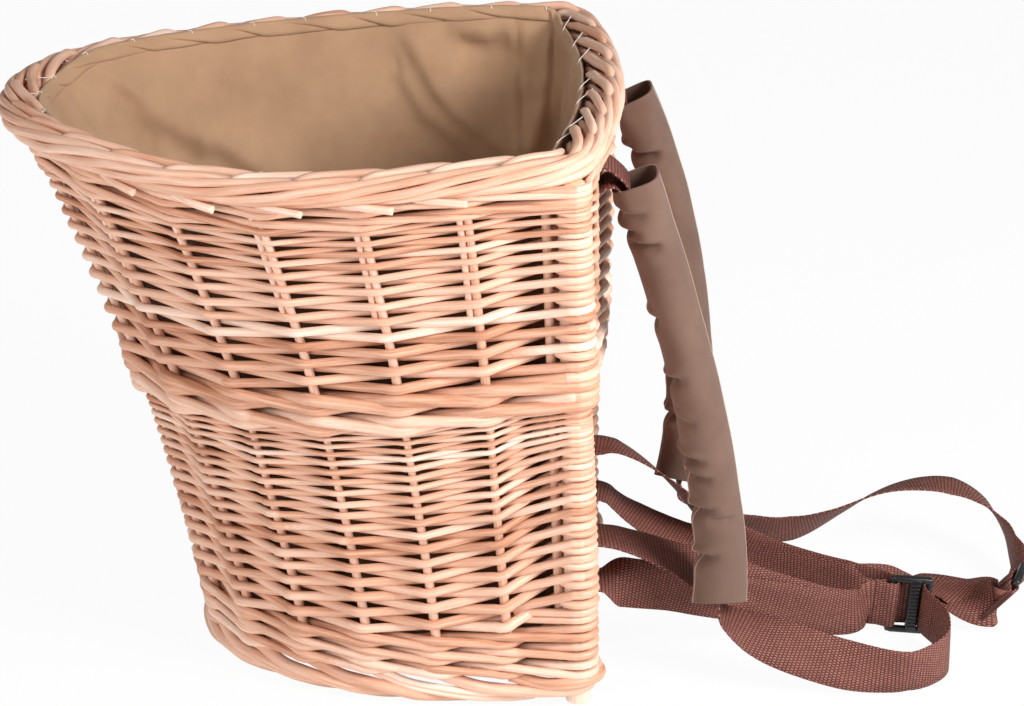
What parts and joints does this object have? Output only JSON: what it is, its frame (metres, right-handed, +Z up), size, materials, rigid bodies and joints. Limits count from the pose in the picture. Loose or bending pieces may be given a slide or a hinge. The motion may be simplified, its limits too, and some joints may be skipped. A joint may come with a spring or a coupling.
{
  "type": "wicker back basket",
  "caption": "D-shaped willow back basket with a flaring woven wall, plaited rim, cotton lining, padded webbing shoulder straps and ladder buckles.",
  "frame": {"origin": "on the floor under the middle of the basket and its padded sleeves, the loose straps left out", "axes": "+X to the wearer's right side of the basket, +Y out of the flat back towards the wearer, +Z up"},
  "size_m": [0.4246, 0.778, 0.45],
  "materials": {
    "willow": "peeled willow, satin",
    "lining_cotton": "plain cotton weave",
    "webbing": "ribbed webbing",
    "sleeve_cloth": "brushed cloth",
    "pad_foam": "open foam",
    "buckle_plastic": "moulded, satin"
  },
  "bodies": {
    "basket": {"right_post": "willow", "left_post": "willow", "foot_rod": "willow", "foot_back_rod": "willow", "foot_pegs": "willow", "base_hoop": "willow", "base_back_rod": "willow", "base_sticks": "willow", "base_weave": "willow", "side_stakes": "willow", "back_stakes": "willow", "side_bye_stakes": "willow", "back_bye_stakes": "willow", "bottom_wale": "willow", "lower_siding": "willow", "middle_wale": "willow", "upper_siding": "willow", "top_wale": "willow", "border_outer_rod": "willow", "border_inner_rod": "willow", "border_turn_downs": "willow", "lining_side": "lining_cotton", "lining_back": "lining_cotton", "lining_bottom": "lining_cotton", "lining_hem": "lining_cotton", "right_top_loop": "webbing", "right_anchor_loop": "webbing", "right_free_strap": "webbing", "right_lower_straps": "webbing", "left_top_loop": "webbing", "left_anchor_loop": "webbing", "left_free_strap": "webbing", "left_lower_straps": "webbing"},
    "right_pad": {"right_pad_webbing": "webbing", "right_pad_foam": "pad_foam", "right_pad_cover": "sleeve_cloth"},
    "right_buckle": {"right_buckle": "buckle_plastic"},
    "left_pad": {"left_pad_webbing": "webbing", "left_pad_foam": "pad_foam", "left_pad_cover": "sleeve_cloth"},
    "left_buckle": {"left_buckle": "buckle_plastic"}
  },
  "joints": [
    {"name": "right_pad_swing", "type": "hinge", "parent": "basket", "child": "right_pad", "pos_m": [0.1027, 0.19363, 0.401], "axis": [1, 0, 0], "range_deg": [0, 55], "deforming": ["right_free_strap"]},
    {"name": "left_pad_swing", "type": "hinge", "parent": "basket", "child": "left_pad", "pos_m": [-0.1027, 0.19363, 0.401], "axis": [1, 0, 0], "range_deg": [0, 55], "deforming": ["left_free_strap"]},
    {"name": "right_buckle_tilt", "type": "hinge", "parent": "basket", "child": "right_buckle", "pos_m": [0.03, 0.39213, 0.025], "axis": [0, 0, 1], "range_deg": [-25, 25], "deforming": ["right_free_strap"]},
    {"name": "left_buckle_tilt", "type": "hinge", "parent": "basket", "child": "left_buckle", "pos_m": [0.01631, 0.47778, 0.023], "axis": [0.1991, 0.61, 0.767], "range_deg": [-25, 25], "deforming": ["left_free_strap"]}
  ]
}
